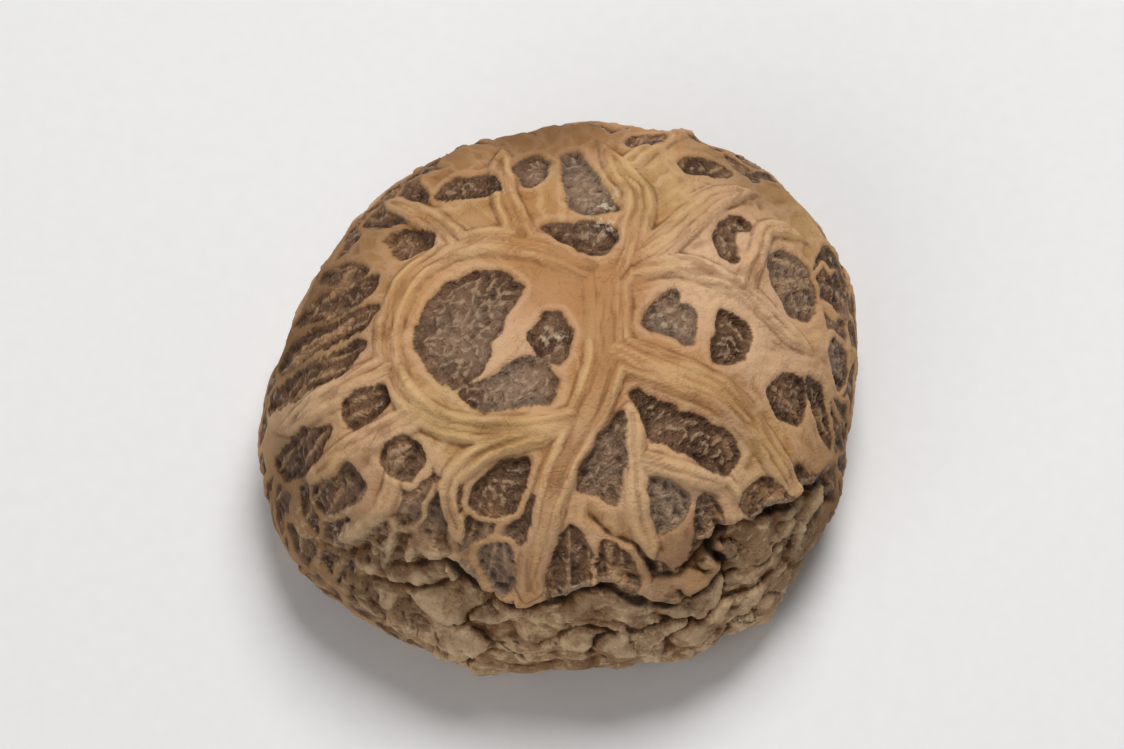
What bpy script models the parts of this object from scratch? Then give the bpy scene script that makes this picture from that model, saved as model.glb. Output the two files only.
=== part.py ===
"""A dried flower shiitake, resting on its curled rim with the crown up.

Three pieces, as the mushroom comes apart on a bench: the cap, the ring of gills
under it and the short cut stem. The origin is on the surface that the rim rests
on, below the middle of the cap. Metres, +Z up, the front of the cap at -Y.
"""

import bpy
import math
from mathutils import Vector

MM = 0.001

# Driving dimensions.
CAP_RADIUS = 26.0 * MM
CAP_HEIGHT = 27.0 * MM
FLESH_THICKNESS = 9.8 * MM
STEM_RADIUS = 4.2 * MM
STEM_CUT_HEIGHT = 1.2 * MM
GAP = 0.3 * MM

# How far the cap grew out of round: (waves round the rim, share of the radius, degrees of the peak).
OUTLINE_WAVES = ((2, 0.044, 36.0), (3, 0.014, 70.0), (4, 0.019, 35.0), (7, 0.004, 20.0))
# How the rim rises and falls: (waves round the rim, height, degrees of the peak).
RIM_WAVES = ((2, 0.25 * MM, 100.0), (3, 0.45 * MM, 40.0), (5, 0.35 * MM, 10.0))
RIM_WAVE_TOP = 12.0 * MM
RIM_DROP = 0.10 * MM
CROWN_DENT_DEPTH = 0.7 * MM
CROWN_DENT_RADIUS = 7.0 * MM
CROWN_DENT_PLACE = (3.0 * MM, 4.0 * MM)

CAP_STEPS = 64
GILL_RIDGES = 60
GILL_RIDGE_HEIGHT = 0.5 * MM
STEM_STEPS = 28
STEM_LEAN = (-1.3 * MM, 0.9 * MM)
STEM_LEAN_TOP = 12.0 * MM
STEM_FURROWS = ((3, 0.05, 15.0), (7, 0.04, 50.0))


def clear_scene():
    for obj in list(bpy.data.objects):
        bpy.data.objects.remove(obj, do_unlink=True)


def smooth_step(share):
    share = min(max(share, 0.0), 1.0)
    return share * share * (3 - 2 * share)


def smooth_outline(knots, per_span):
    """Points on the Catmull-Rom curve through the knots, which are (radius, height)."""
    ends = [knots[0]] + list(knots) + [knots[-1]]
    points = []
    for i in range(len(knots) - 1):
        a, b, c, d = (Vector(p) for p in ends[i : i + 4])
        for j in range(per_span):
            t = j / per_span
            points.append(
                0.5 * (2 * b + (c - a) * t + (2 * a - 5 * b + 4 * c - d) * t**2 + (3 * b - a - 3 * c + d) * t**3)
            )
    points.append(Vector(knots[-1]))
    return points


def material(name, color, roughness):
    made = bpy.data.materials.new(name)
    made.use_nodes = True
    shader = made.node_tree.nodes["Principled BSDF"]
    shader.inputs["Base Color"].default_value = (*color, 1)
    shader.inputs["Roughness"].default_value = roughness
    shader.inputs["Metallic"].default_value = 0
    return made


def turned(name, outline, steps, finish, collection, closed=False):
    """A solid of revolution about Z. A profile starts and ends on the axis unless it is a closed ring."""
    edges = [(i, i + 1) for i in range(len(outline) - 1)]
    if closed:
        edges.append((len(outline) - 1, 0))
    profile = bpy.data.meshes.new(name + "_profile")
    profile.from_pydata([(p.x, 0, p.y) for p in outline], edges, [])
    obj = bpy.data.objects.new(name, profile)
    collection.objects.link(obj)
    screw = obj.modifiers.new("Turn", "SCREW")
    screw.axis = "Z"
    screw.steps = steps
    screw.render_steps = steps
    screw.use_merge_vertices = True
    screw.merge_threshold = 0.00001
    bpy.context.view_layer.update()
    graph = bpy.context.evaluated_depsgraph_get()
    mesh = bpy.data.meshes.new_from_object(obj.evaluated_get(graph))
    obj.modifiers.clear()
    obj.data = mesh
    mesh.name = name
    bpy.data.meshes.remove(profile)
    mesh.materials.clear()
    mesh.materials.append(finish)
    mesh.shade_smooth()
    mesh.set_sharp_from_angle(angle=math.radians(40))
    return obj


def wave_sum(waves, angle):
    return sum(size * math.cos(count * (angle - math.radians(peak))) for count, size, peak in waves)


def grow_unevenly(point):
    """Takes a point of the evenly turned mushroom to where it is on the uneven one.
    Every piece goes through it, so that the gaps between them stay open."""
    angle = math.atan2(point.y, point.x)
    radius = math.hypot(point.x, point.y)
    spread = 1 + wave_sum(OUTLINE_WAVES, angle) * smooth_step(radius / CAP_RADIUS * 1.4)
    x, y, z = point.x * spread, point.y * spread, point.z

    rim_share = smooth_step((RIM_WAVE_TOP - z) / RIM_WAVE_TOP)
    rim_share *= smooth_step((radius / CAP_RADIUS - 0.4) / 0.3)
    z += (wave_sum(RIM_WAVES, angle) - RIM_DROP) * rim_share

    dent_x, dent_y = CROWN_DENT_PLACE
    nearness = 1 - math.hypot(x - dent_x, y - dent_y) / CROWN_DENT_RADIUS
    z -= CROWN_DENT_DEPTH * smooth_step(nearness) * smooth_step((z / CAP_HEIGHT - 0.7) / 0.2)
    return Vector((x, y, z))


def reshape(obj, move):
    for vertex in obj.data.vertices:
        vertex.co = move(vertex.co.copy())
    obj.data.update()


def rest_on_surface(point):
    """The rim is pressed flat where it meets the surface."""
    return Vector((point.x, point.y, max(point.z, 0.0)))


def cap_outline():
    """From the crown down the outer skin, round the curled rim and up to the flesh over the gills."""
    r, h = CAP_RADIUS, CAP_HEIGHT
    ceiling = h - FLESH_THICKNESS
    skin = [
        (0, h),
        (0.20 * r, h * 0.995),
        (0.40 * r, h * 0.962),
        (0.60 * r, h * 0.885),
        (0.78 * r, h * 0.745),
        (0.91 * r, h * 0.560),
        (0.98 * r, h * 0.370),
        (1.00 * r, h * 0.220),
        (0.96 * r, h * 0.090),
        (0.87 * r, h * 0.015),
        (0.77 * r, h * 0.000),
        (0.68 * r, h * 0.045),
        (0.64 * r, h * 0.130),
        (0.66 * r, h * 0.215),
    ]
    under = [
        (0.72 * r, h * 0.330),
        (0.69 * r, h * 0.450),
        (0.56 * r, ceiling * 0.900),
        (0.37 * r, ceiling * 0.970),
        (0.16 * r, ceiling),
        (0, ceiling),
    ]
    outline = smooth_outline(skin, 2)[:-1] + smooth_outline([skin[-1]] + under, 2)
    outline[0].x = 0
    outline[-1].x = 0
    return outline


def gill_outline():
    """The ring that the gills fill: roof along the flesh, lower side along the gills' free edges."""
    r, h = CAP_RADIUS, CAP_HEIGHT
    ceiling = h - FLESH_THICKNESS
    inner = STEM_RADIUS * 1.12 + GAP
    roof = [
        (inner, ceiling - GAP * 1.4),
        (0.37 * r, ceiling * 0.970 - GAP * 1.4),
        (0.55 * r, ceiling * 0.900 - GAP * 1.6),
        (0.670 * r, h * 0.450),
        (0.695 * r, h * 0.330),
        (0.643 * r, h * 0.228),
    ]
    edge = [
        (0.60 * r, h * 0.250),
        (0.52 * r, h * 0.330),
        (0.40 * r, h * 0.395),
        (0.28 * r, h * 0.425),
        (inner, h * 0.435),
    ]
    return [Vector(p) for p in roof + edge], len(roof)


def make_cap(collection):
    skin = material("cap_skin", (0.38, 0.22, 0.11), 0.75)
    cap = turned("cap", cap_outline(), CAP_STEPS, skin, collection)
    reshape(cap, grow_unevenly)
    reshape(cap, rest_on_surface)
    return cap


def make_gills(collection):
    """One ring with a ridge for each stretch of gills. Its free edge runs up and down from ridge to furrow."""
    cream = material("gill_cream", (0.62, 0.44, 0.24), 0.8)
    outline, roof_count = gill_outline()
    steps = 2 * GILL_RIDGES
    gills = turned("gills", outline, steps, cream, collection, closed=True)
    edge_points = [(p.x, p.y) for p in outline[roof_count:]]
    half_turn = math.pi / GILL_RIDGES

    def ridge(point):
        radius = math.hypot(point.x, point.y)
        on_edge = any(math.hypot(radius - x, point.z - z) < 0.01 * MM for x, z in edge_points)
        step = round(math.atan2(point.y, point.x) / half_turn)
        if on_edge and step % 2:
            point.z += GILL_RIDGE_HEIGHT
        return point

    reshape(gills, ridge)
    reshape(gills, grow_unevenly)
    gills.data.shade_flat()
    return gills


def make_stem(collection):
    fibre = material("stem_fibre", (0.50, 0.33, 0.18), 0.85)
    top = CAP_HEIGHT - FLESH_THICKNESS - GAP
    low = STEM_CUT_HEIGHT
    side = smooth_outline(
        [
            (STEM_RADIUS * 1.10, top),
            (STEM_RADIUS * 1.06, top * 0.78),
            (STEM_RADIUS * 0.98, top * 0.52),
            (STEM_RADIUS * 0.92, top * 0.30),
            (STEM_RADIUS * 0.90, low + 0.8 * MM),
            (STEM_RADIUS * 0.82, low),
        ],
        3,
    )
    outline = [Vector((0, top))] + side + [Vector((0, low))]
    stem = turned("stem", outline, STEM_STEPS, fibre, collection)

    def furrow_and_lean(point):
        angle = math.atan2(point.y, point.x)
        below_gills = smooth_step((STEM_LEAN_TOP - point.z) / STEM_LEAN_TOP)
        spread = 1 + wave_sum(STEM_FURROWS, angle) * (0.15 + 0.85 * below_gills)
        x = point.x * spread + STEM_LEAN[0] * below_gills
        y = point.y * spread + STEM_LEAN[1] * below_gills
        return Vector((x, y, point.z))

    reshape(stem, furrow_and_lean)
    reshape(stem, grow_unevenly)
    return stem


def centre_over_origin(pieces):
    """Slides the mushroom so that the middle of its bounding box stands over the origin."""
    corners = [v.co for piece in pieces for v in piece.data.vertices]
    middle_x = (min(c.x for c in corners) + max(c.x for c in corners)) / 2
    middle_y = (min(c.y for c in corners) + max(c.y for c in corners)) / 2
    shift = Vector((middle_x, middle_y, 0))
    for piece in pieces:
        reshape(piece, lambda point: point - shift)


def main():
    clear_scene()
    collection = bpy.data.collections.new("dried_shiitake")
    bpy.context.scene.collection.children.link(collection)
    pieces = [make_cap(collection), make_gills(collection), make_stem(collection)]
    centre_over_origin(pieces)


main()
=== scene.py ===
import math

import bpy
import numpy as np
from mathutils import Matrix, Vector, kdtree, noise


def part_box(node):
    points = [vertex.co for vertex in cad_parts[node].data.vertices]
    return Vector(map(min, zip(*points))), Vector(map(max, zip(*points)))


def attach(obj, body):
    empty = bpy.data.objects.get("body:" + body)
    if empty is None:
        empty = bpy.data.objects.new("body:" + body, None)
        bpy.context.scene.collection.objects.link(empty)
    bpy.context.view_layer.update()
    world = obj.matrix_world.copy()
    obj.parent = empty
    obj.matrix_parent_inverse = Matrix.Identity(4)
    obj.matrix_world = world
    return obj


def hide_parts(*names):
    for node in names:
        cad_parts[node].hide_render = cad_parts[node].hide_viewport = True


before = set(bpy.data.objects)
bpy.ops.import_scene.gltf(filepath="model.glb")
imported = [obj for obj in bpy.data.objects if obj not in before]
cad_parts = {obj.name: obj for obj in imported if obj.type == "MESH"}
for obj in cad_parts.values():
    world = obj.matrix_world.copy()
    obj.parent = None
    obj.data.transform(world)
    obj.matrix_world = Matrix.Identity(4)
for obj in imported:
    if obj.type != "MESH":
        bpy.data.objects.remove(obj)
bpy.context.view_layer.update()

mm = 0.001  # every length below is in millimetres until a mesh is written

# The same values as the CAD's, so that the skin lies on the solid that it replaces.
body = {
    "radius": 26.0,
    "height": 27.0,
    "flesh": 9.8,
    "stemRadius": 4.2,
    "outlineWaves": ((2, 0.044, 36.0), (3, 0.014, 70.0), (4, 0.019, 35.0), (7, 0.004, 20.0)),
    "rimWaves": ((2, 0.25, 100.0), (3, 0.45, 40.0), (5, 0.35, 10.0)),
    "rimWaveTop": 12.0,
    "rimDrop": 0.10,
    "dentDepth": 0.7,
    "dentRadius": 7.0,
    "dentPlace": (3.0, 4.0),
}
high = body["height"]
ceiling = high - body["flesh"]
flankRadius = 24.0  # a usual distance of the flanks from the middle


def smooth(share):
    share = np.clip(share, 0.0, 1.0)
    return share * share * (3 - 2 * share)


def hump(value, middle, width):
    # 1 where the value is at the middle, falling to nothing over about twice the width.
    return np.exp(-(((value - middle) / width) ** 2))


def waveSum(waves, angle):
    return sum(size * np.cos(count * (angle - math.radians(peak))) for count, size, peak in waves)


def curveThrough(knots, perSpan, closed=False):
    # Points on the Catmull-Rom curve through the knots.
    knots = np.array(knots, float)
    if closed:
        ends = np.vstack([knots[-1:], knots, knots[:2]])
    else:
        ends = np.vstack([knots[:1], knots, knots[-1:]])
    points = []
    for i in range(len(ends) - 3):
        a, b, c, d = ends[i : i + 4]
        for t in np.arange(perSpan) / perSpan:
            bend = (2 * a - 5 * b + 4 * c - d) * t**2 + (3 * b - a - 3 * c + d) * t**3
            points.append(0.5 * (2 * b + (c - a) * t + bend))
    if not closed:
        points.append(knots[-1])
    return np.array(points)


def growUnevenly(x, y, z):
    # Takes the evenly turned mushroom to the uneven one, as in the CAD.
    angle, radius = np.arctan2(y, x), np.hypot(x, y)
    spread = 1 + waveSum(body["outlineWaves"], angle) * smooth(radius / body["radius"] * 1.4)
    x, y = x * spread, y * spread
    rimShare = smooth((body["rimWaveTop"] - z) / body["rimWaveTop"])
    rimShare = rimShare * smooth((radius / body["radius"] - 0.4) / 0.3)
    z = z + (waveSum(body["rimWaves"], angle) - body["rimDrop"]) * rimShare
    nearness = 1 - np.hypot(x - body["dentPlace"][0], y - body["dentPlace"][1]) / body["dentRadius"]
    z = z - body["dentDepth"] * smooth(nearness) * smooth((z / high - 0.7) / 0.2)
    return np.stack([x, y, z], -1)


def profileArc(shares):
    # The profile as a closely spaced line, with the distance run along it.
    knots = [(x * body["radius"], z) for x, z in shares]
    line = curveThrough(knots, 16)
    run = np.concatenate([[0], np.cumsum(np.linalg.norm(np.diff(line, axis=0), axis=1))])
    return line, run


skinLine, skinRun = profileArc([
    (0, high), (0.20, 0.995 * high), (0.40, 0.962 * high), (0.60, 0.885 * high), (0.78, 0.745 * high),
    (0.91, 0.560 * high), (0.98, 0.370 * high), (1.00, 0.220 * high), (0.96, 0.090 * high),
    (0.87, 0.015 * high), (0.77, 0),
])
underLine, underRun = profileArc([
    (0.77, 0), (0.68, 0.045 * high), (0.64, 0.130 * high), (0.66, 0.215 * high), (0.72, 0.330 * high),
    (0.69, 0.450 * high), (0.56, 0.900 * ceiling), (0.37, 0.970 * ceiling), (0.16, ceiling), (0, ceiling),
])
skinLength = skinRun[-1]


def skinAt(a, b):
    # The bare surface at map places: 0, 0 is the crown and 1 away from it is the rim's lowest line.
    share, angle = np.hypot(a, b), np.arctan2(b, a)
    r = np.interp(share * skinLength, skinRun, skinLine[:, 0])
    z = np.interp(share * skinLength, skinRun, skinLine[:, 1])
    return growUnevenly(r * np.cos(angle), r * np.sin(angle), z)


def drawnLine(knots, perSpan, closed=False):
    # A line drawn in tenths on the map, and where its points are on the surface.
    line = curveThrough(np.array(knots) / 10, perSpan, closed)
    return line, skinAt(line[:, 0], line[:, 1])


def patchy(points, size, seed, octaves=1):
    # Smooth noise from -1 to 1 whose patches are about size across.
    shift = Vector((seed * 7.31, seed * 3.77, seed * 5.19))
    if octaves == 1:
        found = [noise.noise(Vector(p) + shift) for p in points / size]
    else:
        found = [noise.fractal(Vector(p) + shift, 1.0, 2.1, octaves) for p in points / size]
    return np.clip(np.array(found) * 1.4, -1, 1)


def strayed(points, size, seed):
    # The same noise three times over, to move points with.
    return np.stack([patchy(points, size, seed + k) for k in (0, 1, 2)], -1)


def wrinkled(points, size, seed):
    # Thin crests, as on dried skin: 1 on the crest lines, and lower between them.
    bent = points + 0.45 * size * strayed(points, size * 1.6, seed + 1)
    return 1 - np.abs(patchy(bent, size, seed)) * 2


def roundTheCap(turn, height, reach=flankRadius):
    # Places on a cylinder round the cap, so that cells and noise run on past the back without a seam.
    return np.stack([reach * np.cos(turn), reach * np.sin(turn), height], -1)


def treeOf(points):
    tree = kdtree.KDTree(len(points))
    for i, point in enumerate(points):
        tree.insert(point, i)
    tree.balance()
    return tree


def distanceTo(points, targets):
    tree = treeOf(targets)
    found = [tree.find(p) for p in points]
    return np.array([f[2] for f in found]), np.array([f[1] for f in found])


def nearestCells(points, middles):
    # For each point, its nearest middle and how far it is from the border with the next one's cell.
    tree = treeOf(middles)
    found = [tree.find_n(p, 2) for p in points]
    first, second = [np.array([f[k][2] for f in found]) for k in (0, 1)]
    nearest, other = [np.array([f[k][1] for f in found]) for k in (0, 1)]
    apart = np.linalg.norm(middles[nearest] - middles[other], axis=1)
    return nearest, (second**2 - first**2) / (2 * apart + 1e-9)


cap = {
    "cuts": 128,  # quads along each edge of the cube that it starts from
    "skinShare": 0.76,  # of the way from pole to pole, down to the rim's lowest line
    "edgeWander": 0.28,  # how far the islands' edges wander
    "islandGrows": 0.28,  # beyond the outlines below
    "islandSinks": 0.5,
    "islandWrinkle": 0.3,
    "islandCrowns": 0.15,
    "islandLip": 0.07,
    "streakRises": 0.24,
    "veinRises": 0.6,
    "veinGroove": 0.2,
    "crease": 0.22,
    "grain": 0.09,
    "lumps": 0.6,
    "smallLumps": 0.2,
    "crumple": 0.85,
    "dryWrinkle": 0.07,
    "underLumps": 0.10,
    "crumpledPatch": ((-3.7, -5.3), 2.2, 0.75),  # place, reach and strength, left of the fold

    # Outlines of dark skin. All places are in tenths of the way from the crown to the rim, +x to the
    # right and +y to the back.
    "islands": {
        "bigLeft": [(-1.6, 0.72), (-1.1, 0.6), (-0.82, 0.3), (-1.1, -0.2), (-1.35, -0.75), (-1.6, -1.3),
                    (-2.0, -1.4), (-2.4, -1.05), (-2.65, -0.6), (-2.45, 0.1), (-2.1, 0.55)],
        "bigLeftEye": [(-0.3, -0.15), (0.0, -0.4), (0.06, -0.8), (-0.15, -1.1), (-0.5, -1.0),
                       (-0.62, -0.6)],
        "bigLeftFoot": [(-1.8, -1.55), (-1.25, -1.35), (-0.8, -1.05), (-0.35, -1.2), (-0.15, -1.5),
                        (-0.3, -1.9), (-0.85, -1.88), (-1.4, -1.9)],
        "pairLeft": [(1.9, 0.35), (2.1, 0.15), (2.38, -0.1), (2.35, -0.7), (1.95, -0.55), (1.5, -0.42),
                     (1.45, -0.12)],
        "pairRight": [(2.9, 0.05), (3.35, -0.02), (3.58, -0.35), (3.42, -0.75), (3.05, -1.0),
                      (2.74, -0.8), (2.8, -0.3)],
        "topMiddle": [(-0.42, 1.62), (0.0, 1.68), (0.45, 1.72), (0.78, 1.62), (0.9, 1.4), (0.6, 1.02),
                      (0.3, 1.12), (-0.1, 1.3)],
        "topMiddleGrey": [(-0.05, 3.6), (0.25, 3.65), (0.5, 3.1), (0.72, 2.4), (0.95, 2.0), (0.45, 1.95),
                          (0.1, 2.15), (0.0, 2.8)],
        "topSliver": [(-1.0, 3.3), (-0.7, 3.75), (-0.35, 3.45), (-0.55, 2.85), (-0.8, 2.75)],
        "upperLeft": [(-2.6, 2.85), (-2.25, 3.2), (-1.8, 3.2), (-1.4, 2.9), (-1.25, 2.5), (-1.85, 2.6)],
        "upperLeftLow": [(-3.7, 2.1), (-3.15, 2.1), (-2.6, 1.72), (-2.85, 1.5), (-3.3, 1.4)],
        "leftDrop": [(-3.3, -1.25), (-3.2, -1.55), (-3.7, -1.95), (-4.05, -1.7), (-3.9, -1.35)],
        "leftDropLow": [(-2.9, -2.2), (-2.55, -2.45), (-2.6, -2.85), (-3.0, -2.9), (-3.3, -2.5)],
        "lowMiddle": [(-0.72, -2.95), (-0.82, -3.5), (-1.1, -3.95), (-1.6, -3.85), (-1.8, -3.5),
                      (-1.5, -3.15), (-1.1, -2.98)],
        "wedge": [(1.0, -2.05), (1.08, -2.6), (1.0, -3.2), (0.98, -3.75), (0.65, -3.7), (0.25, -3.4),
                  (0.5, -2.8), (0.78, -2.3)],
        "slash": [(1.25, -1.68), (1.8, -1.85), (2.4, -2.05), (3.0, -2.25), (3.35, -2.65), (3.05, -3.05),
                  (2.55, -2.85), (2.1, -2.65), (1.62, -2.5), (1.38, -2.05)],
        "lowRight": [(1.6, -3.3), (2.1, -3.35), (2.4, -3.6), (2.2, -4.15), (1.88, -4.25), (1.7, -3.8)],
        "lowRightTwin": [(2.68, -3.5), (3.1, -3.75), (3.15, -4.5), (2.88, -4.9), (2.68, -4.5),
                         (2.64, -3.9)],
        "underVein": [(4.0, -3.05), (4.75, -3.4), (4.5, -3.8), (3.75, -3.72), (3.45, -3.5)],
        "rightPatch": [(4.0, -1.35), (4.4, -0.9), (4.95, -0.85), (5.2, -1.2), (5.0, -1.7), (4.5, -1.75)],
        "rightHook": [(5.1, -0.75), (5.55, -0.75), (6.0, -1.3), (6.3, -1.9), (5.85, -1.75), (5.4, -1.15)],
        "rightUpper": [(3.9, 1.6), (4.4, 1.8), (5.0, 1.45), (5.05, 0.75), (4.7, 0.5), (4.2, 0.8),
                       (3.95, 1.15)],
        "rightSickle": [(3.3, 2.15), (3.35, 1.95), (3.02, 1.7), (3.08, 1.25), (2.82, 1.15), (2.65, 1.45),
                        (2.85, 1.95)],
        "farRight": [(2.1, 3.35), (2.5, 3.65), (3.0, 3.65), (3.15, 3.4), (2.7, 3.2), (2.3, 3.15)],
        "farTop": [(1.2, 3.85), (1.35, 4.4), (1.9, 4.5), (1.75, 3.9)],
        "rightEdge": [(5.65, 0.35), (6.2, 0.4), (6.6, 0.0), (6.35, -0.5), (5.85, -0.2)],
        "footLeft": [(-1.75, -4.6), (-1.15, -4.65), (-1.15, -5.5), (-1.5, -5.6), (-1.75, -5.1)],
        "footMiddle": [(0.0, -4.3), (0.35, -4.5), (0.5, -5.0), (0.35, -5.7), (-0.35, -5.75), (-0.3, -5.0)],
        "footRight": [(0.75, -4.6), (1.2, -4.75), (1.55, -5.3), (1.2, -5.75), (0.7, -5.5)],
        "leftScaleTop": [(-3.95, 1.3), (-4.6, 1.75), (-5.4, 2.0), (-5.2, 1.6), (-4.5, 1.25)],
        "leftStripeHigh": [(-3.7, 1.0), (-4.5, 1.12), (-5.5, 1.1), (-5.9, 0.85), (-5.0, 0.52),
                           (-4.0, 0.48)],
        "leftStripe": [(-3.6, 0.33), (-4.5, 0.28), (-5.5, 0.32), (-6.4, 0.1), (-6.0, -0.22),
                       (-5.0, -0.25), (-3.8, -0.1)],
        "leftStripeLow": [(-3.75, -0.33), (-4.6, -0.45), (-5.6, -0.48), (-6.6, -0.6), (-6.5, -0.95),
                          (-5.3, -0.98), (-4.1, -0.86)],
        "leftLowLong": [(-4.4, -1.85), (-5.0, -1.72), (-6.0, -1.85), (-6.7, -1.95), (-6.3, -2.45),
                        (-5.4, -2.5), (-4.8, -2.3)],
        "leftLowNext": [(-3.95, -2.6), (-4.4, -2.75), (-5.0, -2.85), (-4.9, -3.3), (-4.2, -3.3),
                        (-3.75, -3.0)],
    },

    # Broad rounded ridges: the line outwards, half their width at the start and the end, and the share of
    # the line that fades out.
    "veins": {
        "middle": ([(0.75, 0.7), (0.72, -1.0), (0.3, -2.3), (-0.25, -3.55), (-0.6, -4.8),
                    (-0.95, -6.0)], 1.9, 0.9, 0.1),
        "right": ([(0.8, -0.9), (2.0, -1.3), (3.0, -1.65), (3.9, -2.3), (4.75, -3.2),
                   (5.2, -3.7)], 1.6, 0.9, 0.16),
        "ring": ([(0.5, 0.75), (-0.5, 1.15), (-1.7, 1.4), (-2.7, 1.0), (-3.1, 0.2), (-3.15, -0.7),
                  (-2.8, -1.5), (-2.1, -2.1), (-1.2, -2.35), (-0.3, -2.35), (0.3, -2.15)], 1.25, 1.0, 0),
        "left": ([(-3.1, -0.95), (-4.0, -1.2), (-5.0, -1.4), (-6.0, -1.5), (-7.2, -1.2)], 1.3, 0.8, 0.4),
        "lowLeft": ([(-2.5, -1.85), (-3.3, -2.1), (-3.95, -2.3), (-4.6, -2.55), (-5.3, -2.65),
                     (-6.5, -2.5)], 1.1, 0.7, 0.4),
        "upLeft": ([(-2.1, 1.4), (-2.7, 2.2), (-3.3, 2.75), (-3.9, 3.3), (-4.6, 4.3)], 1.2, 0.7, 0.45),
        "top": ([(-0.8, 1.4), (-1.1, 2.2), (-1.25, 3.1), (-1.3, 4.2), (-1.4, 5.6)], 1.1, 0.7, 0.45),
        "topRight": ([(0.9, 0.6), (1.15, 1.2), (1.3, 2.2), (1.0, 3.0), (0.65, 3.9),
                      (0.3, 4.6)], 1.4, 0.8, 0.4),
        "farRight": ([(1.2, 0.9), (1.8, 1.35), (2.3, 1.95), (2.9, 2.6), (3.6, 3.0),
                      (4.7, 3.4)], 1.3, 0.8, 0.4),
        "rightSide": ([(1.2, 0.75), (2.0, 0.85), (2.8, 0.7), (3.5, 0.5), (4.3, 0.1), (5.1, -0.2),
                       (6.1, -0.7)], 0.9, 0.8, 0.3),
        "rightUp": ([(3.3, 0.6), (3.5, 1.4), (3.75, 2.1), (4.5, 2.3), (5.5, 2.1)], 0.8, 0.7, 0.35),
        "lowRight": ([(1.2, -2.1), (1.3, -3.2), (1.45, -4.0), (1.9, -5.1)], 0.9, 0.8, 0.2),
        "lowBridge": ([(1.4, -2.95), (2.2, -3.1), (3.2, -3.35), (3.4, -4.3)], 0.8, 0.7, 0.25),
        "leftLeg": ([(-0.5, -2.5), (-1.6, -2.75), (-2.15, -3.3), (-2.1, -4.2),
                     (-2.0, -5.0)], 0.9, 0.7, 0.3),
        "lowLeftLink": ([(-2.9, -2.0), (-3.1, -2.9), (-3.6, -3.6), (-4.6, -3.9),
                         (-5.6, -3.6)], 0.7, 0.5, 0.4),
        "backRight": ([(1.2, 3.2), (2.2, 4.6), (2.8, 5.8), (3.0, 7.0)], 0.8, 0.6, 0.5),
    },

    # Where the flesh is browner, pinker, creamier and so on than elsewhere, with some painted light and
    # shade among them: place, reach and strength.
    "tones": {
        # Browner flesh; the entries along the back edge, at (0.3, 4.9) and (-2.2, 4.2), are partly painted
        # shade.
        "brown": [((0.5, 0.4), 2.6, 0.9), ((-0.9, 1.9), 1.6, 1.0), ((0.3, 4.9), 2.2, 1.0),
                  ((-2.2, 4.2), 2.4, 0.9), ((0.9, -0.7), 1.6, 0.9), ((-3.3, 0.9), 1.6, 0.5),
                  ((5.4, 1.6), 1.2, 0.8), ((-0.4, -4.2), 1.4, 0.5), ((2.2, -1.3), 1.4, 0.6),
                  ((-2.9, -0.6), 1.2, 0.5), ((-5.4, 1.6), 2.0, 0.8)],
        "pink": [((3.0, 0.9), 2.2, 0.9), ((-0.9, -0.6), 1.3, 0.9), ((1.9, 0.9), 1.4, 0.7),
                 ((5.3, -0.1), 1.5, 0.6), ((0.3, -2.9), 1.0, 0.4), ((2.0, -2.9), 1.6, 0.5),
                 ((-3.2, -2.9), 1.8, 0.6)],
        "cream": [((1.4, 2.6), 1.3, 1.0), ((-1.6, 2.1), 1.0, 1.0), ((-2.0, -1.9), 1.1, 0.9),
                  ((-0.1, 2.6), 0.9, 0.7), ((1.4, -3.4), 1.0, 0.5), ((-2.0, -3.4), 1.0, 0.6),
                  ((3.6, -2.9), 1.0, 0.6), ((-1.2, -2.6), 1.0, 0.5), ((5.2, 2.6), 1.3, 0.7),
                  ((-5.4, -1.2), 1.6, 0.7), ((-6.4, -1.5), 1.2, 0.5)],
        # Darker skin in places, and partly painted shade, most of all on the left flank and along the back
        # edge.
        "darkSkinAndShade": [((-5.7, 0.9), 2.3, 1.0), ((-6.0, -2.5), 1.6, 0.9), ((-4.4, 2.8), 1.8, 0.6),
                 ((-5.4, -4.2), 2.4, 0.7), ((6.4, -3.6), 1.8, 1.0), ((6.9, -1.6), 1.2, 0.5),
                 ((2.6, -5.0), 1.4, 0.6), ((-2.6, -5.4), 1.4, 0.5), ((-0.5, 5.0), 1.9, 0.9),
                 ((-2.4, 4.9), 1.8, 0.7), ((-5.2, -2.3), 1.2, 0.6), ((3.7, 3.9), 1.7, 0.6)],
        # Paler flesh; the entries on the left flank, at (-5.2, -1.2) and (-6.1, -1.4), are a painted
        # highlight on a ridge there.
        "pale": [((2.5, 0.75), 1.1, 1.0), ((-0.9, -0.8), 0.8, 0.6), ((1.4, -3.4), 0.8, 0.6),
                 ((3.9, -0.6), 1.0, 0.6), ((2.9, -2.95), 0.8, 0.5), ((-0.5, -4.4), 1.2, 0.5),
                 ((3.2, 2.9), 0.9, 0.5), ((-5.2, -1.2), 1.1, 1.0), ((-6.1, -1.4), 1.0, 1.0),
                 ((-2.1, 1.3), 0.9, 0.5)],
        # Pale flecks: partly torn flakes of skin, near (0.85, 1.9), and partly painted glints.
        "flakesAndGlints": [((0.85, 1.9), 0.6, 1.0), ((-0.25, -0.6), 0.3, 0.8), ((-4.9, -3.8), 1.3, 0.6),
                   ((5.8, -4.4), 1.2, 0.6), ((3.0, 1.7), 0.4, 0.8), ((1.95, -0.2), 0.3, 0.6),
                   ((4.6, -5.6), 1.2, 0.5), ((1.6, -6.6), 1.6, 0.4), ((-2.4, -6.6), 1.6, 0.4)],
        "faded": [((0.35, 2.9), 1.3, 0.6), ((1.95, -0.2), 0.8, 0.5), ((4.4, 1.2), 1.0, 0.5),
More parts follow.
